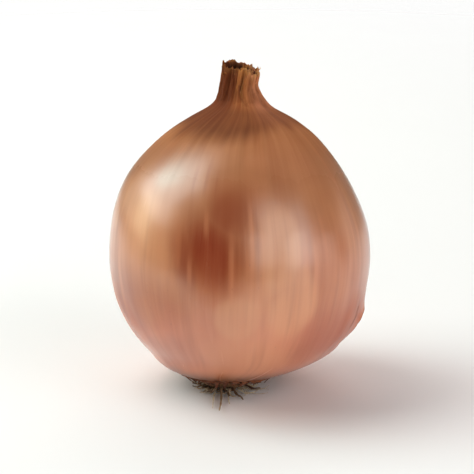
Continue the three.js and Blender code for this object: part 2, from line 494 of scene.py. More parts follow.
class Nodes:
    """A short hand for node trees."""

    def __init__(self, name):
        self.mat = bpy.data.materials.new(name)
        self.mat.use_nodes = True
        self.nt = self.mat.node_tree
        self.nt.nodes.clear()
        self.out = self.nt.nodes.new("ShaderNodeOutputMaterial")
        self.bsdf = self.nt.nodes.new("ShaderNodeBsdfPrincipled")
        self.nt.links.new(self.bsdf.outputs[0], self.out.inputs["Surface"])

    def link(self, value, socket):
        if isinstance(value, bpy.types.NodeSocket):
            self.nt.links.new(value, socket)
        elif isinstance(value, (tuple, list)) and len(value) == 3 and socket.type == "RGBA":
            socket.default_value = (*value, 1.0)
        else:
            socket.default_value = value

    def attr(self, name, out="Fac"):
        n = self.nt.nodes.new("ShaderNodeAttribute")
        n.attribute_name = name
        return n.outputs[out]

    def math(self, op, a, b=0.0, c=0.0, clamp=False):
        n = self.nt.nodes.new("ShaderNodeMath")
        n.operation = op
        n.use_clamp = clamp
        for v, s in zip((a, b, c), n.inputs):
            self.link(v, s)
        return n.outputs[0]

    def vmul(self, v, by):
        n = self.nt.nodes.new("ShaderNodeVectorMath")
        n.operation = "MULTIPLY"
        self.link(v, n.inputs[0])
        self.link(by, n.inputs[1])
        return n.outputs[0]

    def vadd(self, v, by):
        n = self.nt.nodes.new("ShaderNodeVectorMath")
        n.operation = "ADD"
        self.link(v, n.inputs[0])
        self.link(by, n.inputs[1])
        return n.outputs[0]

    def split(self, v):
        n = self.nt.nodes.new("ShaderNodeSeparateXYZ")
        self.link(v, n.inputs[0])
        return n.outputs

    def noise(self, vec, scale=1.0, detail=2.0, rough=0.5, distort=0.0, out="Fac"):
        n = self.nt.nodes.new("ShaderNodeTexNoise")
        n.noise_dimensions = "3D"
        self.link(vec, n.inputs["Vector"])
        n.inputs["Scale"].default_value = scale
        n.inputs["Detail"].default_value = detail
        n.inputs["Roughness"].default_value = rough
        n.inputs["Distortion"].default_value = distort
        return n.outputs[out]

    def voronoi(self, vec, scale=1.0, feature="F1", out="Distance", rand=1.0):
        n = self.nt.nodes.new("ShaderNodeTexVoronoi")
        n.feature = feature
        self.link(vec, n.inputs["Vector"])
        n.inputs["Scale"].default_value = scale
        n.inputs["Randomness"].default_value = rand
        return n.outputs[out]

    def remap(self, v, a, b, c=0.0, d=1.0, smooth_step=True):
        n = self.nt.nodes.new("ShaderNodeMapRange")
        n.interpolation_type = "SMOOTHSTEP" if smooth_step else "LINEAR"
        n.clamp = True
        for val, key in ((v, "Value"), (a, "From Min"), (b, "From Max"), (c, "To Min"), (d, "To Max")):
            self.link(val, n.inputs[key])
        return n.outputs["Result"]

    def mix(self, fac, a, b, blend="MIX"):
        n = self.nt.nodes.new("ShaderNodeMix")
        n.data_type = "RGBA"
        n.blend_type = blend
        n.clamp_factor = True
        self.link(fac, n.inputs[0])
        self.link(a, n.inputs[6])
        self.link(b, n.inputs[7])
        return n.outputs[2]

    def ramp(self, fac, stops):
        n = self.nt.nodes.new("ShaderNodeValToRGB")
        cr = n.color_ramp
        while len(cr.elements) < len(stops):
            cr.elements.new(0.5)
        for e, (p, c) in zip(cr.elements, stops):
            e.position = p
            e.color = c
        self.link(fac, n.inputs[0])
        return n.outputs[0]

    def bump(self, height_mm, strength=1.0, normal=None):
        n = self.nt.nodes.new("ShaderNodeBump")
        n.inputs["Strength"].default_value = strength
        n.inputs["Distance"].default_value = MM
        self.link(height_mm, n.inputs["Height"])
        if normal is not None:
            self.link(normal, n.inputs["Normal"])
        return n.outputs[0]

    def set(self, **kw):
        for k, v in kw.items():
            self.link(v, self.bsdf.inputs[k.replace("_", " ")])


def ride(ob, node):
    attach(ob, "root")
    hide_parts(node)
    return ob


# --------------------------------------------------------------------------
# The bulb: body and neck in one skin
# --------------------------------------------------------------------------
NU = 352


def rows():
    """Distances along the section at which the skin has a row of corners: closer together at the neck."""
    body = np.linspace(0, S_NECK, 192)
    neck = np.linspace(S_NECK, S_END, 80)
    return np.concatenate([body[:-1], neck])


def pattern(a, s):
    """Where a point lies in the skin's grain: the bearing drifts slowly on its way from root to neck."""
    w = PROFILE(s)[..., 1]
    drift = 0.05 * perlin(np.cos(a) * 1.3, np.sin(a) * 1.3, s * 0.05, 21) + 0.012 * perlin(np.cos(a) * 4, np.sin(a) * 4, s * 0.12, 22)
    aa = a + drift - 0.03 * smooth(16, 30, w) * (w - 16)
    return np.stack([np.cos(aa), np.sin(aa), s / 10], -1)


# redder, darker patches: bearing (deg), height, half width (mm), half height (mm), weight. Some are the skin's own red;
# those at the front middle (-115 to -93 deg) and low on the left (-162, -140 deg) are painted shade
RUDDY_AND_SHADE = [
    (-103, 3.3, 4.8, 5.9, 1.0), (-93, 9.0, 3.6, 4.5, 0.7), (-38, -11.0, 7.0, 6.0, 0.42), (5, 3.0, 6.0, 8.0, 0.4), (-162, -12.0, 6.0, 5.0, 0.22), (-140, -16.0, 5.5, 3.6, 0.35), (-115.5, 1.8, 2.8, 5.0, 0.75), (-15, -10.5, 5.0, 5.5, 0.30),
    (62, 4.0, 8.0, 9.0, 0.9), (112, -7.0, 8.0, 7.0, 0.7), (156, 5.0, 6.0, 9.0, 0.8), (207, -6.0, 7.0, 6.0, 0.5),
]
# paler, tan patches and streaks: round the back the skin's own tan; at the front several are painted light, namely the
# highlight band down the left, a painted highlight near the top and lighter places low down for the floor's bounce
# light
PALE_AND_LIT = [
    (-139, -6.5, 3.4, 4.2, 0.55), (-24, 4.5, 4.5, 5.5, 0.40), (-97, 17.0, 4.0, 2.4, 0.34), (-90, -4.0, 4.5, 3.2, 0.28), (-38, 5.0, 4.0, 5.0, 0.22),
    (-84, -15.5, 8.0, 6.5, 0.60), (-135, 2.7, 6.8, 8.2, 0.90), (-47, -3.0, 4.0, 8.0, 0.30),
    (-100, 15.0, 7.0, 3.0, 0.2),
    (30, -8.0, 6.0, 7.0, 0.5), (84, -13.0, 7.0, 6.0, 0.5), (134, 2.0, 4.0, 9.0, 0.5), (176, -10.0, 6.0, 7.0, 0.6),
    (-62, 16.5, 6.0, 2.5, 0.35),
]


# single light streaks that lie over the patches
STREAKS = [
    (-112.4, -0.6, 0.40, 2.6, 0.45), (-104.6, 7.6, 0.36, 2.1, 0.42), (-93.3, 0.8, 0.33, 5.2, 0.50), (-84.2, 4.9, 0.34, 4.6, 0.60),
    (-60.0, -4.0, 0.7, 5.5, 0.28), (-71.0, -7.0, 0.5, 4.0, 0.30), (-118.0, 3.0, 0.45, 3.5, 0.30), (-55.0, -2.0, 0.35, 4.5, 0.35),
    (-49.0, 3.0, 0.40, 4.5, 0.25), (-137.0, -8.0, 0.5, 4.0, 0.25), (-99.0, -8.0, 0.5, 3.0, 0.22), (96.0, 5.0, 0.8, 6.0, 0.50),
    (40.0, 4.0, 0.9, 7.0, 0.50), (190.0, 6.0, 1.0, 6.0, 0.45), (66.0, 1.0, 0.45, 5.0, 0.45), (71.0, 8.0, 0.40, 4.0, 0.40),
    (20.0, -4.0, 0.5, 6.0, 0.35), (118.0, -5.0, 0.5, 5.0, 0.40), (160.0, 4.0, 0.45, 5.0, 0.40), (148.0, -6.0, 0.6, 5.0, 0.35),
    (204.0, -3.0, 0.5, 5.0, 0.40), (-18.0, 2.0, 0.4, 6.0, 0.30),
]
# darker streaks in the skin, and one broad darker patch on the top right shoulder (-58 deg, 15.5 mm) that is painted
# shade
DARKS = [
    (-81.9, 3.6, 0.42, 5.2, 0.52), (-88.4, 3.4, 0.30, 3.2, 0.40), (-90.6, 3.0, 0.26, 2.8, 0.35), (-66.0, -6.0, 0.35, 4.5, 0.25), (-58.0, 15.5, 4.0, 3.0, 0.16),
    (-57.5, 1.0, 0.40, 5.0, 0.35), (-107.0, 14.0, 0.28, 2.4, 0.38), (-114.0, 13.4, 0.28, 2.2, 0.32), (-101.0, 13.0, 0.25, 1.8, 0.28), (-42.0, -4.0, 0.5, 5.5, 0.30),
    (-128.0, -6.0, 0.5, 3.5, 0.20), (-26.0, 5.0, 0.5, 6.0, 0.35), (48.0, -2.0, 0.5, 6.0, 0.35), (78.0, 7.0, 0.4, 5.0, 0.35),
    (104.0, 1.0, 0.5, 6.0, 0.40), (139.0, 8.0, 0.45, 5.0, 0.35), (171.0, -3.0, 0.5, 6.0, 0.35), (199.0, 4.0, 0.5, 5.0, 0.35),
]
# hair-thin splits in the outer skin, beside the torn corner: drawn only in colour as dark lines, painted shade of the
# cracks
SPLIT_SHADE_LINES = [(-16.8, -8.7, 0.27, 2.1, 0.75), (-15.6, -10.6, 0.25, 1.0, 0.5)]
# cream-coloured places with a plain border: the three at the front (-90 to -67 deg) are a painted highlight, the rest
# the skin's own cream
CREAM_AND_HIGHLIGHT = [
    (-72.6, 2.6, 3.3, 7.2, 0.70), (-67.0, -5.0, 3.4, 5.4, 0.60), (-90.0, -7.0, 3.8, 4.2, 0.50), (52.0, -9.0, 3.0, 5.0, 0.5), (146.0, 0.0, 3.2, 6.0, 0.6), (196.0, 9.0, 3.0, 5.0, 0.5),
]
# dull places with little wax on them
DULL = [
    (-103, 1.7, 5.4, 7.4, 0.85), (-116, 2.6, 3.2, 5.2, 0.55), (-93, 9.0, 4.0, 5.0, 0.5), (-136, -8.0, 6.5, 6.0, 0.45), (-165, -9.5, 6.5, 6.5, 0.85), (-16, -10.0, 6.5, 6.5, 0.85), (180, -8.0, 6.0, 6.5, 0.6), (8, -8.0, 6.0, 6.5, 0.6),
    (60, 3.0, 7.0, 9.0, 0.6), (120, -8.0, 8.0, 6.0, 0.6), (150, 6.0, 5.0, 7.0, 0.5),
]


def patches(where, a, s, plain=1.5):
    w = PROFILE(s)[..., 1]
    x, y, z = np.cos(a) * 1.6, np.sin(a) * 1.6, s * 0.09
    sway = 2.2 * perlin(x, y, z, 51)
    rise = 2.5 * perlin(x, y, z + 4, 52)
    k = 0 * (a + w)
    for deg, w0, hw, hh, weight in where:
        dx = wrap(a - math.radians(deg)) * 19.0 * np.sqrt(np.maximum(0.05, 1 - (w / 24) ** 2)) + sway * min(1.0, hw / 3)
        dy = w - w0 + rise
        k = np.maximum(k, weight * np.exp(-(((dx / hw) ** 2 + (dy / hh) ** 2) ** plain)))
    return k


def build_skin():
    s = rows()
    a = np.arange(NU) / NU * 2 * math.pi + math.pi / 2  # the seam is at the back
    S, A = np.meshgrid(s[1:-1], a, indexing="ij")
    P = skin_surface(A, S)
    # where the outer skin is torn away the surface is the next skin down
    gap = tear_distance(A, S, P)
    t_u, t_v = np.roll(P, -1, 1) - np.roll(P, 1, 1), np.gradient(P, axis=0)
    nrm = np.cross(t_u, t_v)
    nrm /= np.maximum(np.linalg.norm(nrm, axis=-1, keepdims=True), 1e-9)
    P = P - nrm * (INSET * (1 - smooth(0.9, 3.4, gap)))[..., None]
    nv = len(s) - 2
    verts = P.reshape(-1, 3)
    foot, pit = P[0].mean(0)[None], P[-1].mean(0)[None]
    verts = np.concatenate([verts, foot, pit])
    faces, corners = grid_faces(nv, NU)
    # the neck takes a bigger share of the map than its length
    vv = np.where(s < S_NECK, s / S_NECK * 0.72, 0.72 + (s - S_NECK) / (S_END - S_NECK) * 0.28) * 0.98 + 0.01
    uvs = []
    for quad in corners:
        for j, i in quad:
            uvs.append((i / NU * 0.98 + 0.01, vv[j + 1]))
    i_foot, i_pit = len(verts) - 2, len(verts) - 1
    last = (nv - 1) * NU
    for i in range(NU):
        u0, u1, um = i / NU * 0.98 + 0.01, (i + 1) / NU * 0.98 + 0.01, (i + 0.5) / NU * 0.98 + 0.01
        faces.append((i_foot, (i + 1) % NU, i))
        uvs += [(um, vv[0]), (u1, vv[1]), (u0, vv[1])]
        faces.append((last + i, last + (i + 1) % NU, i_pit))
        uvs += [(u0, vv[-2]), (u1, vv[-2]), (um, vv[-1])]
    # how far each point lies above or below its neighbours, for painted shade in the folds and paler ridges
    rad = np.linalg.norm(P[..., :2] - P[..., :2].mean(1, keepdims=True), axis=-1)
    k = max(3, NU // 40)
    pad = np.concatenate([rad[:, -k:], rad, rad[:, :k]], 1)
    mean = np.stack([pad[:, i : i + NU] for i in range(2 * k + 1)], 0).mean(0)
    ends = lambda x, p, q: np.concatenate([x.reshape(-1), [p, q]])
    attrs = {
        "cyl": np.concatenate([pattern(A, S).reshape(-1, 3), [[0, 0, 0], [0, 0, S_END / 10]]]),
        "fold": ends((rad - mean) + ((fold_lines(A, PROFILE(S)[..., 1]) - 0.05) * 0.8 * smooth(22.0, 25.5, PROFILE(S)[..., 1]) - (rad - mean)) * smooth(20.0, 22.0, PROFILE(S)[..., 1]), 0, 0),
        "height": ends(PROFILE(S)[..., 1], -20.6, 26),
        "inner": ends(smooth(S_RIM, S_RIM + 0.7, S), 0, 1),
        "bare": ends(1 - smooth(0.5, 0.9, gap), 0, 0),
        "ruddy_and_shade": ends(patches(RUDDY_AND_SHADE, A, S), 0, 0),
        "pale": ends(patches(PALE_AND_LIT, A, S), 0, 0),
        "streak": ends(patches(STREAKS, A, S), 0, 0),
        "shade": ends(patches(DARKS, A, S), 0, 0),
        "cream": ends(patches(CREAM_AND_HIGHLIGHT, A, S, 4.0), 0, 0),
        "split": ends(patches(SPLIT_SHADE_LINES, A, S), 0, 0),
        "dull": ends(patches(DULL, A, S), 0, 0),
    }
    return new_mesh("onion_skin", to_row(verts), faces, uvs, attrs)


def build_flap(name):
    """The loose outer skin round a tear: it ends in a ragged lifted edge and lies down on the bulb away from it."""
    la, ls, t = tear_line(name, 300)
    lw = PROFILE(ls)[..., 1]
    r = PROFILE(ls)[..., 0]
    closed = not TEAR_OPEN[name]
    if closed:
        la, ls, t, r, lw = la[:-1], ls[:-1], t[:-1], r[:-1], lw[:-1]
    # the way away from the opening, in mm along the bearing and along the skin
    if closed:
        ta, ts = (np.roll(la, -1) - np.roll(la, 1)) * r, np.roll(ls, -1) - np.roll(ls, 1)
    else:
        ta, ts = np.gradient(la) * r, np.gradient(ls)
    k = 7
    ker = np.hanning(2 * k + 3)[1:-1]
    ker /= ker.sum()
    mode = "wrap" if closed else "edge"
    ta, ts = (np.convolve(np.pad(x, k, mode=mode), ker, "valid") for x in (ta, ts))
    ln = np.hypot(ta, ts)
    na, ns = ts / ln, -ta / ln
    mid_a, mid_s = 0.5 * (la.min() + la.max()), 0.5 * (ls.min() + ls.max())
    if ((la - mid_a) * r * na + (ls - mid_s) * ns).mean() < 0:
        na, ns = -na, -ns
    seed = 31 if name == "low" else 47
    ca, sa = 6 * np.cos(t / t[-1] * 2 * math.pi), 6 * np.sin(t / t[-1] * 2 * math.pi)
    ragged = 0.55 * perlin(ca, sa, 0.3, seed) + 0.30 * perlin(3 * ca, 3 * sa, 0.7, seed + 1) + 0.16 * perlin(8 * ca, 8 * sa, 0.1, seed + 2)
    curl = 0.10 + 0.30 * np.maximum(0, perlin(ca * 0.7, sa * 0.7, 0.9, seed + 3) + 0.1)
    if name == "low":
        curl = curl + 0.40 * bump(np.degrees(la), -7.0, 5.5) * smooth(-14.5, -11.0, lw) * smooth(-6.8, -8.6, lw)
    v = np.array([0.0, 0.12, 0.3, 0.55, 0.85, 1.2, 1.6, 2.1, 2.7, 3.3, 4.0, 4.8])
    V = v[:, None] + 0 * la[None]
    D = V - ragged[None] * (1 - V / 4.8) ** 2
    rr = np.maximum(r, 3.0)
    A = la[None] + na[None] * D / rr[None]
    S = np.clip(ls[None] + ns[None] * D, PROFILE_D[1] * 0.6, S_RIM - 1)
    P = skin_surface(A, S)
    N = section_normal(A, S)
    lift = 0.05 + curl[None] * (1 - V / 4.8) ** 4 - 0.24 * smooth(2.9, 4.8, V)
    P = P + N * lift[..., None]
    # keep the rows so that the outside of the sheet faces out of the bulb
    du = (np.roll(P, -1, 1) - np.roll(P, 1, 1)) if closed else np.gradient(P, axis=1)
    out = (np.cross(du, np.gradient(P, axis=0)) * N).sum(-1).mean()
    if out < 0:
        P, A, S, V = P[:, ::-1], A[:, ::-1], S[:, ::-1], V[:, ::-1]
    thick = 0.05 + 0.06 * smooth(0, 1.0, V)
    verts, faces = sheet(P, thick, closed)
    two = lambda x: np.concatenate([x.reshape(-1, *x.shape[2:])] * 2)
    W = PROFILE(S)[..., 1]
    attrs = {
        "cyl": two(pattern(A, S)), "fold": two(0 * W), "height": two(W), "inner": two(0 * W), "bare": two(0 * W),
        "edge": two(1 - smooth(0.0, 0.7, V)), "ruddy_and_shade": two(patches(RUDDY_AND_SHADE, A, S)), "pale": two(patches(PALE_AND_LIT, A, S)), "dull": two(patches(DULL, A, S)),
        "streak": two(patches(STREAKS, A, S)), "shade": two(patches(DARKS, A, S)), "cream": two(patches(CREAM_AND_HIGHLIGHT, A, S, 4.0)),
        "split": two(patches(SPLIT_SHADE_LINES, A, S)),
    }
    return new_mesh("torn_skin_" + name, to_row(verts), faces, None, attrs)


def gather_colour_and_shade(m, cyl):
    """Where the skin gathers into the neck it is dark and dull; the darkness is partly painted shade of the hollow at
    the neck's foot.
    """
    n = m.noise(m.vadd(m.vmul(cyl, (12.0, 12.0, 0.5)), (4.4, 3.08, 5.72)), 1.0, 3.0, 0.6)
    return m.mix(m.remap(n, 0.35, 0.66), srgb(100, 50, 27), srgb(118, 64, 36))


def neck_colour(m, cyl, fold, h):
    """The neck is dull brown: paler on its ridges and on the right, dark in its creases and on the left. The side
    difference is painted light and shade; the ridges and creases are painted light and shade together with the neck's
    own dark stripes.
    """
    n = m.noise(m.vadd(m.vmul(cyl, (9.0, 9.0, 0.8)), (2.2, 1.54, 2.86)), 1.0, 3.0, 0.6)
    c = m.mix(m.remap(n, 0.35, 0.66), srgb(172, 96, 52), srgb(206, 128, 76))
    # painted light on the right of the neck and painted shade on its left
    side = m.split(cyl)[0]
    c = m.mix(m.math("MULTIPLY", m.remap(side, 0.0, 0.62), 0.95), c, srgb(248, 160, 116))
    c = m.mix(m.math("MULTIPLY", m.remap(side, -0.10, -0.7), 0.85), c, srgb(106, 32, 5))
    # paler ridges and darker creases: painted light and shade of the folds, with the neck's own stripes
    c = m.mix(m.math("MULTIPLY", m.remap(fold, 0.02, 0.16), 0.5), c, srgb(184, 122, 72))
    c = m.mix(m.math("MULTIPLY", m.remap(fold, 0.0, -0.22), 0.6), c, srgb(92, 42, 17))
    # painted shade darkens the foot of the neck
    return m.mix(m.math("MULTIPLY", m.remap(h, 25.4, 22.4), 0.85), c, gather_colour_and_shade(m, cyl))


def neck_grain(m, cyl):
    lines = m.noise(m.vmul(cyl, (16.0, 16.0, 1.2)), 1.0, 3.0, 0.6)
    fine = m.noise(m.vmul(cyl, (48.0, 48.0, 3.0)), 1.0, 2.0, 0.6)
    return m.math("ADD", m.math("MULTIPLY", lines, 0.10), m.math("MULTIPLY", fine, 0.04))


def skin_material():
    m = Nodes("onion_skin")
    cyl = m.attr("cyl", "Vector")
    h = m.attr("height")
    fold = m.attr("fold")
    inner = m.attr("inner")
    bare = m.attr("bare")
    edge = m.attr("edge")

    def st(k, stretch, detail=2.0, rough=0.5, off=0.0):
        v = m.vmul(cyl, (k, k, stretch))
        if off:
            v = m.vadd(v, (off, off * 0.7, off * 1.3))
        return m.noise(v, 1.0, detail, rough)

    neck = m.remap(h, 20.0, 22.4)
    foot = m.remap(h, -17.5, -20.5)
    body = m.math("SUBTRACT", 1.0, neck)
    # the grain fades where the lines crowd together
    open_grain = m.remap(h, 13.0, 2.0, 0.30, 1.0)
    open_grain = m.math("MULTIPLY", open_grain, m.remap(h, -12.0, -3.0, 0.40, 1.0))
    # and it is plain in some places and faint in others
    open_grain = m.math("MULTIPLY", open_grain, m.remap(m.noise(m.vadd(m.vmul(cyl, (3.2, 3.2, 0.9)), (7.7, 1.3, 4.1)), 1.0, 2.0, 0.5), 0.40, 0.62, 0.25, 1.15))

    patch = st(1.5, 0.45, 3.0, 0.55)
    band = st(5.0, 0.30, 3.0, 0.55, 3.1)
    vein_n = st(13.0, 0.20, 1.5, 0.4, 5.7)
    vein = m.remap(m.math("ABSOLUTE", m.math("SUBTRACT", vein_n, 0.5)), 0.0, 0.030, 1.0, 0.0)
    streak = st(18.0, 0.26, 2.0, 0.5, 9.2)
    fibre = st(52.0, 0.7, 2.0, 0.6, 1.7)

    low = m.mix(m.remap(patch, 0.36, 0.66), srgb(195, 108, 76), srgb(211, 128, 93))
    mid = m.mix(m.remap(patch, 0.36, 0.66), srgb(180, 99, 57), srgb(195, 118, 70))
    dry = m.mix(m.remap(patch, 0.36, 0.66), srgb(171, 105, 64), srgb(185, 119, 76))
    top = m.mix(m.remap(streak, 0.30, 0.72), srgb(157, 97, 60), srgb(165, 105, 67))
    copper = m.mix(m.remap(h, -12.0, -3.0), low, mid)
    copper = m.mix(m.remap(h, 0.0, 10.0), copper, dry)
    copper = m.mix(m.remap(h, 11.0, 17.0), copper, top)
    # painted highlight and bounce light, together with the skin's own tan: the pale patches
    copper = m.mix(m.math("MULTIPLY", m.attr("pale"), 0.85), copper, srgb(214, 145, 101))
    # painted shade together with the skin's own red: the darker, redder patches
    copper = m.mix(m.math("MULTIPLY", m.attr("ruddy_and_shade"), 0.92), copper, srgb(128, 36, 15))
    copper = m.mix(m.math("MULTIPLY", m.remap(band, 0.46, 0.72), m.remap(h, 9.0, 1.0, 0.12, 0.22)), copper, srgb(206, 122, 78))
    copper = m.mix(m.math("MULTIPLY", m.remap(band, 0.50, 0.28), m.remap(h, 9.0, 1.0, 0.12, 0.25)), copper, srgb(132, 54, 30))
    # painted highlight at the front and the skin's own cream elsewhere
    copper = m.mix(m.math("MULTIPLY", m.attr("cream"), m.remap(st(14.0, 0.25, 2.0, 0.5, 6.3), 0.30, 0.55, 0.70, 1.0)), copper, srgb(214, 149, 105))
    copper = m.mix(m.attr("streak"), copper, srgb(210, 134, 90))
    # darker streaks, and painted shade on the top right shoulder
    copper = m.mix(m.attr("shade"), copper, srgb(148, 74, 40))
    # lighter and darker hair lines that run from root to neck
    light = m.math("MULTIPLY", m.remap(streak, 0.50, 0.74), 0.10)
    dark = m.math("MULTIPLY", m.remap(streak, 0.48, 0.26), 0.10)
    copper = m.mix(m.math("MULTIPLY", light, open_grain), copper, srgb(222, 160, 116))
    copper = m.mix(m.math("MULTIPLY", dark, open_grain), copper, srgb(118, 52, 30))
    copper = m.mix(m.math("MULTIPLY", m.math("MULTIPLY", vein, 0.04), open_grain), copper, srgb(122, 56, 32))
    copper = m.mix(m.math("MULTIPLY", m.math("MULTIPLY", m.remap(fibre, 0.42, 0.70), 0.05), open_grain), copper, srgb(228, 176, 132))
    # the next skin down is pinker and paler
    under = m.mix(m.remap(streak, 0.35, 0.68), srgb(206, 120, 84), srgb(222, 146, 108))
    c = m.mix(m.math("MULTIPLY", bare, 0.85), copper, under)
    # a few specks of dry dirt
    wob = m.noise(m.vmul(cyl, (60.0, 60.0, 30.0)), 1.0, 2.0, 0.6)
    cell = m.math("ADD", m.voronoi(m.vmul(cyl, (17.0, 17.0, 5.5)), 1.0), m.math("MULTIPLY", m.math("SUBTRACT", wob, 0.5), 0.35))
    some = m.remap(m.noise(m.vmul(cyl, (2.6, 2.6, 1.3)), 1.0, 1.0, 0.5), 0.54, 0.64)
    c = m.mix(m.math("MULTIPLY", m.math("MULTIPLY", m.remap(cell, 0.12, 0.05), some), 0.14), c, srgb(92, 48, 30))
    # painted shade where the skin gathers into the neck, reaching lower on the left, over the darker dry skin there
    from_side = m.math("SUBTRACT", h, m.remap(m.split(cyl)[0], -0.1, 0.9, 0.0, 2.0))
    from_side = m.math("ADD", from_side, m.math("MULTIPLY", m.math("SUBTRACT", st(2.6, 0.0, 2.0, 0.6, 8.8), 0.5), 5.0))
    c = m.mix(m.math("MULTIPLY", m.remap(from_side, 18.3, 21.4), 0.9), c, gather_colour_and_shade(m, cyl))
    c_neck = neck_colour(m, cyl, fold, h)
    c = m.mix(neck, c, c_neck)
    c = m.mix(m.math("MULTIPLY", foot, 0.8), c, srgb(104, 60, 34))
    # painted shade: near black inside the hollow of the neck
    c = m.mix(m.math("MULTIPLY", inner, 0.92), c, srgb(44, 20, 9))
    c = m.mix(m.math("MULTIPLY", edge, 0.5), c, srgb(176, 112, 72))
    # painted shade: near black lines for the splits, with less wax on them
    split = m.attr("split")
    c = m.mix(m.math("MULTIPLY", split, 0.9), c, srgb(92, 27, 12))
    m.set(Base_Color=c)

    rough = m.math("ADD", 0.24, m.math("MULTIPLY", m.math("SUBTRACT", streak, 0.5), 0.05))
    rough = m.math("ADD", rough, m.math("MULTIPLY", m.math("SUBTRACT", band, 0.5), 0.20))
    rough = m.math("SUBTRACT", rough, m.math("MULTIPLY", bare, 0.07))
    rough = m.math("ADD", rough, m.remap(h, 12.0, 21.0, 0.0, 0.55), clamp=True)
    m.set(Roughness=rough)
    height = m.math("MULTIPLY", vein, 0.0008)
    height = m.math("ADD", height, m.math("MULTIPLY", streak, 0.008))
    height = m.math("ADD", height, m.math("MULTIPLY", fibre, 0.003))
    height = m.math("MULTIPLY", height, open_grain)
    height = m.math("ADD", height, m.math("MULTIPLY", neck_grain(m, cyl), m.remap(h, 18.5, 23.0)))
    normal = m.bump(height)
    m.set(Normal=normal, Coat_Normal=normal)
    m.bsdf.inputs["Coat Roughness"].default_value = 0.30
    m.bsdf.inputs["Coat IOR"].default_value = 1.86
    coat = m.math("ADD", m.remap(streak, 0.34, 0.62, 0.94, 1.0), m.math("MULTIPLY", m.math("SUBTRACT", band, 0.5), 0.3), clamp=True)
    coat = m.math("MULTIPLY", coat, m.math("MULTIPLY", m.remap(h, 19.5, 12.0), m.remap(h, -20.0, -15.0, 0.25, 1.0)))
    coat = m.math("MULTIPLY", coat, m.remap(m.attr("dull"), 0.0, 1.0, 1.0, 0.15))
    coat = m.math("MULTIPLY", coat, m.remap(split, 0.0, 0.8, 1.0, 0.1))
    m.set(Coat_Weight=coat)
    m.bsdf.inputs["IOR"].default_value = 1.50
    m.bsdf.inputs["Specular IOR Level"].default_value = 0.14
    m.bsdf.inputs["Specular Tint"].default_value = (1.0, 0.90, 0.76, 1.0)
    m.bsdf.inputs["Subsurface Weight"].default_value = 0.06
    m.bsdf.inputs["Subsurface Radius"].default_value = (1.0, 0.4, 0.25)
    m.bsdf.inputs["Subsurface Scale"].default_value = 0.0012
    return m.mat


SKIN = skin_material()
skin = build_skin()
skin.data.materials.append(SKIN)
ride(skin, "bulb")
for tear in TEARS:
    flap = build_flap(tear)
    flap.data.materials.append(SKIN)
    ride(flap, "bulb")


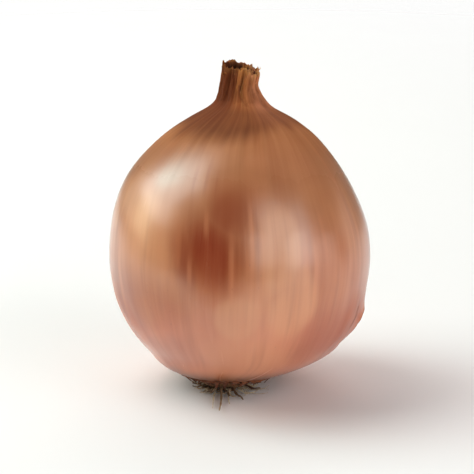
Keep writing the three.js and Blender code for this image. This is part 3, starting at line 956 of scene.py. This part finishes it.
# --------------------------------------------------------------------------
# The neck: torn dry sheets wrapped round it, rolled ends inside it, frayed bits
# --------------------------------------------------------------------------
def build_wraps():
    """Torn outer sheets that part from the neck: [from, to (deg), foot, top, stand-off at the top, seed, how pale]."""
    bag = Bag()
    k = 1.0
    two = lambda x: np.concatenate([x.reshape(-1, *x.shape[2:])] * 2)
    # how pale each sheet is: the front and right front ones pale as painted light, the one round the left dark as
    # painted shade
    specs = [
        (-205, -74, 22.6, 29.75, 0.08, 61, 0.1), (-88, 14, 22.8, 28.65, 0.20, 62, 0.6), (0, 118, 22.8, 29.5, 0.26, 63, 0.6),
        (92, 186, 22.6, 30.3, 0.16, 64, 0.3), (-98, -62, 24.2, 29.3, 0.24, 65, 0.9), (-30, 8, 24.6, 29.1, 0.34, 66, 1.0),
    ]
    for d0, d1, foot, top, off, seed, pale in specs:
        nu, nv = int(abs(d1 - d0) * 0.9 * k), int(36 * k)
        a = np.radians(np.linspace(d0, d1, nu))
        A, T = np.meshgrid(a, np.linspace(0, 1, nv), indexing="xy")
        side = np.linspace(0, 1, nu)
        taper = smooth(0, 0.16, side) * smooth(1, 0.84, side)
        ragged = 0.50 * perlin(a * 2.2, 0.3, 0.1, seed) + 0.40 * perlin(a * 6, 0.5, 0.2, seed + 7) + 0.22 * perlin(a * 15, 0.1, 0.2, seed + 9)
        tops = top + ragged - 2.6 * (1 - taper) * np.linspace(1, 0.6, nu)
        feet = foot + 0.7 * perlin(a * 1.8, 0.9, 0.4, seed + 11) + 0.35 * perlin(a * 7, 0.2, 0.8, seed + 12)
        W = feet[None] + (tops - feet)[None] * T
        p, n = neck_wall(A, W)
        lift = off * smooth(0.15, 1.0, T) ** 1.3 + 0.06 * smooth(0.1, 0.4, T) - 0.20 * smooth(0.34, 0.0, T)
        lift = lift + 0.14 * smooth(0.25, 1.0, T) * perlin(A * 2.6, W * 0.25, 0.0, seed + 3)
        lift = lift + 0.08 * smooth(0.0, 0.5, T) * perlin(A * 8.0, W * 0.7, 0.0, seed + 5)
        # the corners of a sheet curl away
        lift = lift + 0.40 * smooth(0.82, 1.0, T) ** 2 * np.maximum(0, perlin(A * 3.0, 0.2, 0.9, seed + 4) + 0.25)
        lift = lift * (0.35 + 0.65 * smooth(0, 0.10, side) * smooth(1, 0.90, side))[None]
        p = p + n * lift[..., None]
        p[..., 2] -= 0.10 * smooth(0.8, 1.0, T) * perlin(A * 9, 0.7, 0.4, seed + 6)
        v, f = sheet(p, 0.07 - 0.035 * smooth(0.85, 1.0, T))
        wc = np.minimum(W, 28.9)
        cyl = pattern(A, s_at(wc)) + np.stack([0 * W, 0 * W, (W - wc) / 10], -1)
        bag.add(
            v, f, along=two(T), tone=pale, cyl=two(cyl),
            fold=two((fold_lines(A, wc) - 0.05) * 0.8 * smooth(22.0, 25.5, wc)), deep=0.0,
            under=np.concatenate([np.zeros(A.size), np.ones(A.size)]), height=two(W),
        )
    # a dark sheet lining the hollow, darker further in: painted shade of the hollow
    nu, nv = int(120 * k), int(26 * k)
    A, S = np.meshgrid(np.arange(nu) / nu * 2 * math.pi, np.linspace(S_RIM + 0.12, S_END - 0.15, nv), indexing="xy")
    p = skin_surface(A, S)
    p[..., :2] -= np.stack([np.cos(A), np.sin(A)], -1) * (0.07 * smooth(0.3, 1.2, PROFILE(S)[..., 0]))[..., None]
    p[..., 2] += 0.07 * smooth(S_END - 2.2, S_END - 1.2, S)
    v, f = sheet(p, 0.04, closed=True)
    bag.add(v, f, along=0.3, tone=0.0, cyl=two(pattern(A, S)), fold=0.0, deep=two(0.55 + 0.45 * smooth(S_RIM, S_RIM + 1.4, S)), under=0.6, height=27.0)
    # sheaths rolled up inside the hollow: [x, y, radius, foot, top, where it opens (deg), seed]
    for x0, y0, rad, foot, top, opens, seed in [
        (1.05, -0.30, 0.95, 25.6, 29.35, -20, 71), (-0.80, 0.80, 1.00, 25.6, 28.4, 140, 72), (0.30, -1.15, 0.55, 25.6, 29.1, 40, 73),
        (1.30, 1.00, 0.75, 25.6, 29.8, 200, 74), (1.75, -0.95, 0.42, 25.6, 28.9, 100, 75),
    ]:
        nu, nv = int(46 * k), int(20 * k)
        a = math.radians(opens) + np.linspace(0.25, 2 * math.pi + 0.5, nu)
        A, T = np.meshgrid(a, np.linspace(0, 1, nv), indexing="xy")
        turn = np.linspace(0, 1, nu)[None]
        ragged = 0.35 * perlin(a * 1.5, 0.3, 0.1, seed) + 0.25 * perlin(a * 5, 0.5, 0.2, seed + 7)
        W = foot + (top + ragged - foot)[None] * T
        rr = rad * (0.82 + 0.30 * turn) * (1 + 0.16 * perlin(A * 1.2, W * 0.3, 0, seed + 2) + 0.07 * perlin(A * 4, W * 0.8, 0, seed + 3))
        p = np.stack([x0 - 0.75 + rr * np.cos(A), y0 + 0.2 + rr * np.sin(A), W], -1)
        v, f = sheet(p, 0.07)
        # the rolled sheaths darken below their torn tops: painted shade down in the hollow
        bag.add(
            v, f, along=two(T), tone=np.full(len(v), (seed * 0.377) % 1.0),
            cyl=two(np.stack([np.cos(A), np.sin(A), W / 10], -1)), fold=0.0,
            deep=two(0.95 * smooth(0.1, -1.0, W - (top + ragged[None]))), under=np.concatenate([np.full(A.size, 0.3), np.ones(A.size)]), height=27.0,
        )
    return bag.make("neck_wraps", in_bulb=True)


def build_frays():
    """Narrow curled strips and threads at the torn end of the neck."""
    rng = np.random.RandomState(17)
    bag = Bag()
    specs = []
    for i in range(17):  # most of them at the right front
        specs.append((rng.uniform(-75, 35), rng.uniform(26.9, 28.2), rng.uniform(0.9, 1.8), rng.uniform(0.14, 0.34)))
    for i in range(13):
        specs.append((rng.uniform(35, 285), rng.uniform(28.0, 29.2), rng.uniform(0.4, 0.9), rng.uniform(0.08, 0.20)))
    for deg, w0, length, hw in specs:
        a = math.radians(deg)
        n = 14
        t = np.linspace(0, 1, n)
        base, er = neck_wall(np.array([a]), np.array([w0]))
        er = er[0]
        et = np.array([-math.sin(a), math.cos(a), 0])
        out = rng.uniform(0.05, 0.55)
        turn = rng.uniform(-0.7, 0.7)
        curl = rng.uniform(-0.5, 1.2)
        path = base[0] + er * 0.05 + np.outer(t * length, [0, 0, 1]) + np.outer(length * (out * t**1.8 + 0.10 * curl * np.sin(5 * t)), er)
        path = path + np.outer(length * turn * t**1.6, et)
        path[:, 2] -= length * 0.35 * np.maximum(0, curl) * t**3
        twist = rng.uniform(-1.6, 1.6) * t
        side = np.cos(twist)[:, None] * et + np.sin(twist)[:, None] * er
        width = hw * (1 - 0.75 * t**1.5) * (1 + 0.2 * np.sin(9 * t + rng.uniform(0, 6)))
        v, f = ribbon(path, width, 0.06 - 0.03 * t, side)
        reps = len(v) // n
        T = np.repeat(t, reps)
        bag.add(v, f, along=0.55 + 0.45 * T, tone=rng.rand(), under=0.0, fold=0.0, deep=0.0, height=27.0,
                cyl=np.stack([np.full(len(v), math.cos(a)), np.full(len(v), math.sin(a)), v[:, 2] / 10], -1))
    return bag.make("neck_frays", in_bulb=True)


def neck_material():
    m = Nodes("neck_paper")
    cyl = m.attr("cyl", "Vector")
    along = m.attr("along")
    tone = m.attr("tone")
    under = m.attr("under")
    deep = m.attr("deep")
    lines = m.noise(m.vmul(cyl, (16.0, 16.0, 1.2)), 1.0, 3.0, 0.6)
    fine = m.noise(m.vmul(cyl, (48.0, 48.0, 3.0)), 1.0, 2.0, 0.6)
    blot = m.noise(m.vmul(cyl, (4.0, 4.0, 5.0)), 1.0, 3.0, 0.6)
    own = m.remap(along, 0.10, 0.50)
    upper = m.remap(along, 0.35, 0.95)
    c = neck_colour(m, cyl, m.attr("fold"), m.attr("height"))
    c = m.mix(m.math("MULTIPLY", m.math("MULTIPLY", m.remap(lines, 0.40, 0.70), 0.30), own), c, srgb(176, 108, 62))
    # tone: painted light and shade on the outer sheets, random on the rolled sheaths and frays
    c = m.mix(m.math("MULTIPLY", m.math("MULTIPLY", m.remap(tone, 0.3, 1.0), 0.75), upper), c, srgb(184, 116, 62))
    c = m.mix(m.math("MULTIPLY", m.math("MULTIPLY", m.remap(tone, 0.25, 0.0), 0.60), own), c, srgb(88, 40, 19))
    c = m.mix(m.math("MULTIPLY", m.math("MULTIPLY", m.remap(blot, 0.52, 0.34), 0.35), own), c, srgb(92, 44, 22))
    # the torn ends are dry and pale, more so on the right as painted light
    dry_end_and_light = m.math("MULTIPLY", m.remap(along, 0.80, 1.0), m.remap(m.split(cyl)[0], -0.5, 0.3, 0.12, 0.55))
    c = m.mix(dry_end_and_light, c, srgb(208, 150, 96))
    c = m.mix(m.math("MULTIPLY", m.remap(fine, 0.55, 0.36), 0.25), c, srgb(96, 48, 24))
    # the faces turned in towards the neck are darker: painted shade between the sheets and the neck
    c = m.mix(m.math("MULTIPLY", under, 0.5), c, srgb(96, 48, 24))
    # painted shade deep in the hollow
    c = m.mix(deep, c, srgb(46, 21, 10))
    m.set(Base_Color=c, Roughness=m.remap(lines, 0.3, 0.7, 0.62, 0.82))
    m.set(Normal=m.bump(neck_grain(m, cyl)))
    m.bsdf.inputs["Specular IOR Level"].default_value = 0.08
    m.bsdf.inputs["Subsurface Weight"].default_value = 0.10
    m.bsdf.inputs["Subsurface Radius"].default_value = (1.0, 0.45, 0.2)
    m.bsdf.inputs["Subsurface Scale"].default_value = 0.0008
    return m.mat


PAPER = neck_material()
for piece in (build_wraps(), build_frays()):
    piece.data.materials.append(PAPER)
    ride(piece, "bulb")


# --------------------------------------------------------------------------
# The root end: corky plate, ragged skin ends round it, dried roots
# --------------------------------------------------------------------------
ROOT_AT = np.array([-1.0, -1.5])  # middle of the basal plate on the floor


def build_plate():
    """The basal plate: a low lumpy cone that reaches up into the bulb."""
    n_a = 132
    prof = [(4.6, 2.6), (4.5, 2.1), (4.25, 1.7), (3.85, 1.35), (3.4, 1.08), (2.9, 0.86), (2.4, 0.68), (1.9, 0.55), (1.4, 0.47), (0.9, 0.42), (0.4, 0.40)]
    pts, _ = spline(prof)
    s = np.linspace(0, _[-1], 46)
    rz = pts(s)
    a = np.arange(n_a) / n_a * 2 * math.pi
    R, A = np.meshgrid(rz[:, 0], a, indexing="ij")
    Z = np.repeat(rz[:, 1][:, None], n_a, 1)
    out = 1 + 0.07 * np.cos(3 * A + 1) + 0.05 * np.cos(5 * A - 0.4)
    x, y = R * out * np.cos(A), R * out * np.sin(A)
    knob = 0.5 - np.abs(perlin(x / 0.55, y / 0.55, Z / 0.55, 81)) * 1.6
    d = (0.16 * perlin(x / 1.6, y / 1.6, Z / 1.2, 80) + 0.11 * knob + 0.05 * perlin(x / 0.3, y / 0.3, Z / 0.3, 82)) * smooth(0, 1.0, R)
    x, y = x + d * np.cos(A) * 0.8, y + d * np.sin(A) * 0.8
    Z = np.maximum(Z - d * 0.7, 0.12)
    verts = np.stack([x + ROOT_AT[0], y + ROOT_AT[1], Z], -1).reshape(-1, 3)
    faces, _ = grid_faces(len(s), n_a)
    faces = [q[::-1] for q in faces]
    faces.append(tuple(range(n_a)))
    faces.append(tuple((len(s) - 1) * n_a + k for k in range(n_a - 1, -1, -1)))
    lump = np.concatenate([(d / 0.16).reshape(-1)])
    return new_mesh("root_plate", verts * MM, faces, None, {"lump": lump})


def build_collar():
    """Ragged brown ends of the dry skins, drawn in round the plate."""
    rng = np.random.RandomState(23)
    bag = Bag()
    n = 13
    for i in range(86):
        a = i / 86 * 2 * math.pi + rng.uniform(-0.06, 0.06)
        r0 = rng.uniform(6.0, 7.7)
        r1 = r0 - rng.uniform(1.3, 2.6)
        drop = rng.uniform(0.25, 1.0) * (0.4 if rng.rand() < 0.35 else 1.0)
        t = np.linspace(0, 1, n)
        r = r0 + (r1 - r0) * t
        s = np.interp(r, R_TABLE[:200], S_TABLE[:200])
        p = skin_surface(np.full(n, a) + rng.uniform(-0.12, 0.12) * t, s)
        p[:, 2] -= 0.03 + drop * t**1.7 + 0.05 * np.sin(t * 6 + rng.uniform(0, 6))
        et = np.array([-math.sin(a), math.cos(a), 0])
        twist = rng.uniform(-0.5, 0.5) * t
        side = np.cos(twist)[:, None] * et + np.sin(twist)[:, None] * np.array([0, 0, 1.0])
        hw = rng.uniform(0.24, 0.55) * (1 - 0.72 * t**1.3) * (1 + 0.16 * np.sin(t * 11 + rng.uniform(0, 6)))
        v, f = ribbon(p, hw, 0.07 - 0.035 * t, side)
        v = to_row(v) / MM
        v[:, 2] = np.maximum(v[:, 2], 0.05)
        bag.add(v, f, along=np.repeat(t, len(v) // n), pick=rng.rand())
    return bag.make("root_collar")


def build_roots():
    rng = np.random.RandomState(5)
    bag = Bag()

    def fibre(x, y, z0, heading, length, radius, bend, wiggle, rest, lift, pick, n=20, sides=6):
        t = np.linspace(0, 1, n)
        w1, w2, w3 = rng.uniform(0, 6.28, 3)
        head = math.radians(heading) + bend * t + wiggle * (np.sin(5 * t + w1) - math.sin(w1)) + 0.35 * wiggle * np.sin(13 * t + w2)
        step = length / (n - 1)
        px = x + np.concatenate([[0], np.cumsum(np.cos(head[:-1]))]) * step
        py = y + np.concatenate([[0], np.cumsum(np.sin(head[:-1]))]) * step
        down = min(0.75, 1.6 / length)
        pz = z0 + (rest - z0) * smooth(0, down, t) + lift * t**2.2 + 0.10 * np.sin(9 * t + w3) * t
        rad = radius * (1 - 0.55 * t) * (1 + 0.14 * np.sin(21 * t + w1))
        pz = np.maximum(pz, rad + 0.02)
        v, f = tube(np.stack([px, py, pz], -1), rad, sides, w2)
        bag.add(v, f, along=np.repeat(t, sides), pick=np.clip(pick, 0, 1))

    def around(r, deg):
        return ROOT_AT[0] + r * math.cos(math.radians(deg)), ROOT_AT[1] + r * math.sin(math.radians(deg))

    cut = 1.0
    for i in range(int(16 * cut)):  # broken stubs
        deg = rng.uniform(-180, 180)
        x, y = around(rng.uniform(1.2, 3.4), deg)
        fibre(x, y, rng.uniform(0.7, 1.2), deg + rng.uniform(-40, 40), rng.uniform(1.4, 3.4), rng.uniform(0.15, 0.26),
              rng.uniform(-0.6, 0.6), 0.25, rng.uniform(0.25, 0.5), rng.uniform(0, 0.4), rng.uniform(0.0, 0.35), 14, 8)
    for i in range(int(20 * cut)):  # roots
        deg = rng.uniform(-180, 180)
        x, y = around(rng.uniform(1.2, 3.6), deg)
        fibre(x, y, rng.uniform(0.7, 1.4), deg + rng.uniform(-50, 50), rng.uniform(1.8, 3.5), rng.uniform(0.085, 0.15),
              rng.uniform(-1.1, 1.1), rng.uniform(0.2, 0.5), rng.uniform(0.15, 0.4), rng.uniform(0, 0.8), rng.uniform(0.35, 1.0))
    for i in range(int(40 * cut)):  # hair roots
        deg = rng.uniform(-180, 180)
        x, y = around(rng.uniform(1.6, 4.0), deg)
        fibre(x, y, rng.uniform(0.7, 1.5), deg + rng.uniform(-70, 70), rng.uniform(1.8, 4.2), rng.uniform(0.040, 0.075),
              rng.uniform(-2.4, 2.4), rng.uniform(0.3, 0.9), rng.uniform(0.06, 0.5), rng.uniform(-0.1, 1.0), rng.uniform(0.7, 1.0), 24, 5)
    for i in range(int(50 * cut)):  # crushed under the plate
        deg = rng.uniform(-180, 180)
        x, y = around(rng.uniform(0.0, 3.2), deg)
        fibre(x, y, rng.uniform(0.25, 0.7), rng.uniform(-180, 180), rng.uniform(1.2, 3.4), rng.uniform(0.06, 0.12),
              rng.uniform(-2.0, 2.0), 0.5, rng.uniform(0.08, 0.45), 0.0, rng.uniform(0.1, 0.65), 14, 5)
    # the longer roots that stand out of the tuft: start, heading, length, radius, bend
    for x, y, z0, heading, length, radius, bend, lift, pick in [
        (-1.95, -4.3, 0.95, -90, 9.2, 0.25, 0.0, 0.10, 0.50), (-2.95, -4.2, 0.8, -94, 7.8, 0.14, -0.02, 0.15, 1.0),
        (-0.85, -4.5, 0.7, -87, 6.0, 0.14, 0.05, 0.10, 1.0), (-0.2, -4.4, 0.8, -58, 4.6, 0.22, -0.25, 0.25, 0.22),
        (0.6, -4.2, 0.8, -40, 3.6, 0.11, 1.2, 0.4, 1.0), (1.1, -4.0, 0.7, -75, 2.8, 0.10, 1.6, 0.3, 1.0),
        (1.6, -3.0, 0.8, -30, 4.4, 0.07, 0.75, 0.9, 0.85), (1.6, -2.4, 0.9, -8, 4.6, 0.06, -0.5, 0.5, 0.95),
        (1.2, -3.8, 0.6, -38, 4.8, 0.07, 0.6, 0.2, 0.80), (-4.0, -2.6, 0.8, -158, 2.8, 0.10, 0.5, 0.6, 0.9),
        (-4.2, -1.6, 0.9, 176, 2.6, 0.08, -0.7, 0.7, 1.0), (-3.8, -3.4, 0.7, -140, 2.6, 0.12, 0.4, 0.2, 0.75),
    ]:
        fibre(x, y, z0, heading, length, radius, bend, 0.035, radius + 0.05, lift, pick, 26, 7)
    return bag.make("root_fibres")


def root_material():
    m = Nodes("dried_roots")
    pick = m.attr("pick")
    along = m.attr("along")
    co = m.nt.nodes.new("ShaderNodeTexCoord").outputs["Object"]
    n1 = m.noise(co, 1100.0, 3.0, 0.6)
    c = m.ramp(pick, [(0.0, srgb(76, 45, 27)), (0.3, srgb(126, 90, 61)), (0.62, srgb(174, 144, 112)), (1.0, srgb(208, 188, 158))])
    c = m.mix(m.math("MULTIPLY", m.remap(along, 0.35, 0.0), 0.55), c, srgb(74, 40, 20))
    c = m.mix(m.math("MULTIPLY", m.remap(along, 0.6, 1.0), 0.25), c, srgb(190, 168, 134))
    c = m.mix(m.math("MULTIPLY", m.remap(n1, 0.50, 0.34), 0.6), c, srgb(84, 57, 39))
    m.set(Base_Color=c, Roughness=m.remap(n1, 0.3, 0.7, 0.6, 0.85))
    m.set(Normal=m.bump(m.math("MULTIPLY", n1, 0.05)))
    return m.mat


def collar_material():
    m = Nodes("skin_ends")
    pick = m.attr("pick")
    along = m.attr("along")
    co = m.nt.nodes.new("ShaderNodeTexCoord").outputs["Object"]
    n1 = m.noise(co, 900.0, 3.0, 0.6)
    # dark brown skin ends, darkest at the tips by the floor: partly painted shade under the bulb
    c = m.mix(pick, srgb(78, 36, 18), srgb(142, 82, 46))
    c = m.mix(m.math("MULTIPLY", m.remap(along, 0.3, 0.0), 0.5), c, srgb(168, 98, 60))
    c = m.mix(m.math("MULTIPLY", m.remap(along, 0.65, 1.0), 0.5), c, srgb(66, 32, 16))
    c = m.mix(m.math("MULTIPLY", m.remap(n1, 0.50, 0.34), 0.5), c, srgb(60, 28, 14))
    m.set(Base_Color=c, Roughness=m.remap(n1, 0.3, 0.7, 0.5, 0.75))
    m.set(Normal=m.bump(m.math("MULTIPLY", n1, 0.06)))
    return m.mat


def plate_material():
    m = Nodes("root_plate")
    lump = m.attr("lump")
    co = m.nt.nodes.new("ShaderNodeTexCoord").outputs["Object"]
    n1 = m.noise(co, 700.0, 4.0, 0.65)
    n2 = m.voronoi(co, 1500.0)
    c = m.mix(m.remap(n1, 0.35, 0.65), srgb(66, 38, 20), srgb(124, 88, 56))
    c = m.mix(m.math("MULTIPLY", m.remap(lump, 0.1, 0.9), 0.5), c, srgb(150, 114, 76))
    c = m.mix(m.math("MULTIPLY", m.remap(lump, 0.0, -0.7), 0.7), c, srgb(40, 20, 10))
    m.set(Base_Color=c, Roughness=m.remap(n1, 0.3, 0.7, 0.7, 0.9))
    m.set(Normal=m.bump(m.math("ADD", m.math("MULTIPLY", n1, 0.12), m.math("MULTIPLY", n2, 0.05))))
    return m.mat


for make, mat in ((build_plate, plate_material), (build_collar, collar_material), (build_roots, root_material)):
    piece = make()
    piece.data.materials.append(mat())
    ride(piece, "root_tuft")


# --------------------------------------------------------------------------
# Stage: pale floor, soft studio light, camera
# --------------------------------------------------------------------------
ELEV = math.radians(18.0)
TARGET = Vector((0.0006, 0.0, 0.0250))
VIEW_MM = 76.0  # what the frame spans at the onion
DIST = 0.62


def build_floor():
    me = bpy.data.meshes.new("floor")
    L = 4.0
    me.from_pydata([(-L, -L, 0), (L, -L, 0), (L, L, 0), (-L, L, 0)], [], [(0, 1, 2, 3)])
    ob = bpy.data.objects.new("floor", me)
    bpy.context.scene.collection.objects.link(ob)
    ob.location.z = -0.00002
    m = Nodes("floor")
    m.bsdf.inputs["Base Color"].default_value = (0.875, 0.845, 0.85, 1)
    m.bsdf.inputs["Roughness"].default_value = 0.7
    m.bsdf.inputs["Specular IOR Level"].default_value = 0.2
    # further out than the lights reach, the floor gives way to the white of the studio
    co = m.nt.nodes.new("ShaderNodeTexCoord").outputs["Object"]
    far = m.nt.nodes.new("ShaderNodeVectorMath")
    far.operation = "LENGTH"
    m.nt.links.new(co, far.inputs[0])
    gone = m.remap(far.outputs["Value"], 0.13, 0.30)
    clear = m.nt.nodes.new("ShaderNodeBsdfTransparent")
    both = m.nt.nodes.new("ShaderNodeMixShader")
    out = next(n for n in m.nt.nodes if n.type == "OUTPUT_MATERIAL")
    m.nt.links.new(gone, both.inputs[0])
    m.nt.links.new(m.bsdf.outputs[0], both.inputs[1])
    m.nt.links.new(clear.outputs[0], both.inputs[2])
    m.nt.links.new(both.outputs[0], out.inputs["Surface"])
    me.materials.append(m.mat)
    return ob


floor = build_floor()

cam_data = bpy.data.cameras.new("camera")
cam = bpy.data.objects.new("camera", cam_data)
bpy.context.scene.collection.objects.link(cam)
cam_data.sensor_width = 36.0
cam_data.lens = 36.0 * DIST / (VIEW_MM * MM)
cam_data.clip_start = 0.01
cam_data.clip_end = 50
back = Vector((0.0, -math.cos(ELEV), math.sin(ELEV)))
cam.location = TARGET + back * DIST
cam.rotation_euler = (-back).to_track_quat("-Z", "Y").to_euler()
bpy.context.scene.camera = cam


def softbox(name, pos, size, power, colour=(1, 1, 1), aim=(0, 0, 0.024), spread=180):
    li = bpy.data.lights.new(name, "AREA")
    li.shape = "RECTANGLE"
    li.size, li.size_y = size
    li.energy = power
    li.color = colour
    li.spread = math.radians(spread)
    ob = bpy.data.objects.new(name, li)
    ob.location = pos
    ob.rotation_euler = (Vector(aim) - Vector(pos)).to_track_quat("-Z", "Y").to_euler()
    bpy.context.scene.collection.objects.link(ob)
    return ob


softbox("key", (-0.406, 0.071, 0.388), (0.490, 0.490), 2.34, (0.93, 1.0, 0.98))
softbox("key_core", (-0.389, 0.125, 0.392), (0.200, 0.200), 0.34, (0.40, 1.0, 0.96))
softbox("key_low", (-0.529, 0.098, 0.140), (0.234, 0.234), 0.44, (1.0, 0.93, 0.62))
softbox("key_high", (-0.196, 0.099, 0.528), (0.234, 0.234), 0.52, (1.0, 0.97, 0.90))
softbox("side_left", (0.207, -0.485, 0.182), (0.234, 0.234), 0.33)
softbox("side_right", (0.445, -0.307, 0.124), (0.254, 0.254), 0.64, (1.0, 1.0, 0.96))
softbox("side_high", (0.432, -0.195, 0.303), (0.194, 0.194), 0.20)
softbox("side_top", (0.272, -0.333, 0.366), (0.240, 0.240), 0.30)
softbox("back_left", (-0.46, 0.33, 0.13), (0.26, 0.26), 0.17, (1.0, 0.90, 0.70))
softbox("right", (0.542, -0.092, 0.033), (0.234, 0.234), 0.18)
softbox("right_back", (0.491, 0.247, 0.018), (0.254, 0.254), 0.09)
top = softbox("top", (0.05, 0.20, 0.60), (0.7, 0.6), 0.50)
top.visible_glossy = False
fill = softbox("fill", (-0.10, -0.50, 0.22), (0.5, 0.5), 0.30)
fill.visible_glossy = False
fill_right = softbox("fill_right", (0.46, -0.22, 0.26), (0.4, 0.4), 0.30)
fill_right.visible_glossy = False
# brighten the floor at the front right, which the skin mirrors low down, and behind the onion
pool = softbox("pool", (0.085, -0.110, 0.10), (0.06, 0.06), 0.012, aim=(0.085, -0.110, 0), spread=90)
pool.visible_glossy = False
pool_back = softbox("pool_back", (0.0, 0.30, 0.28), (0.30, 0.30), 0.22, aim=(0, 0.16, 0), spread=130)
pool_back.visible_glossy = False

# A white studio: bright behind and dim on the side that the camera is on, by
# direction in the row frame. The camera itself sees plain white behind the floor.
world = bpy.data.worlds.new("studio")
bpy.context.scene.world = world
world.use_nodes = True
wn = world.node_tree
wn.nodes.clear()
w_out = wn.nodes.new("ShaderNodeOutputWorld")
w_bg = wn.nodes.new("ShaderNodeBackground")
w_co = wn.nodes.new("ShaderNodeTexCoord")
w_sep = wn.nodes.new("ShaderNodeSeparateXYZ")
w_map = wn.nodes.new("ShaderNodeMapRange")
w_map.interpolation_type = "SMOOTHSTEP"
w_map.inputs["From Min"].default_value = -0.35
w_map.inputs["From Max"].default_value = 0.55
w_map.inputs["To Min"].default_value = 0.02
w_map.inputs["To Max"].default_value = 0.20
w_lp = wn.nodes.new("ShaderNodeLightPath")
w_mix = wn.nodes.new("ShaderNodeMix")
w_mix.data_type = "FLOAT"
w_tint = wn.nodes.new("ShaderNodeMix")
w_tint.data_type = "RGBA"
w_tint.inputs[6].default_value = (1.0, 0.92, 0.78, 1)
w_tint.inputs[7].default_value = (1.0, 1.0, 1.0, 1)
wn.links.new(w_lp.outputs["Is Camera Ray"], w_tint.inputs[0])
wn.links.new(w_tint.outputs[2], w_bg.inputs["Color"])
wn.links.new(w_co.outputs["Generated"], w_sep.inputs[0])
wn.links.new(w_sep.outputs["Y"], w_map.inputs["Value"])
wn.links.new(w_lp.outputs["Is Camera Ray"], w_mix.inputs[0])
wn.links.new(w_map.outputs["Result"], w_mix.inputs[2])
w_mix.inputs[3].default_value = 1.0
wn.links.new(w_mix.outputs[0], w_bg.inputs["Strength"])
wn.links.new(w_bg.outputs[0], w_out.inputs["Surface"])

bpy.context.scene.view_settings.view_transform = "Standard"
bpy.context.scene.view_settings.look = "None"
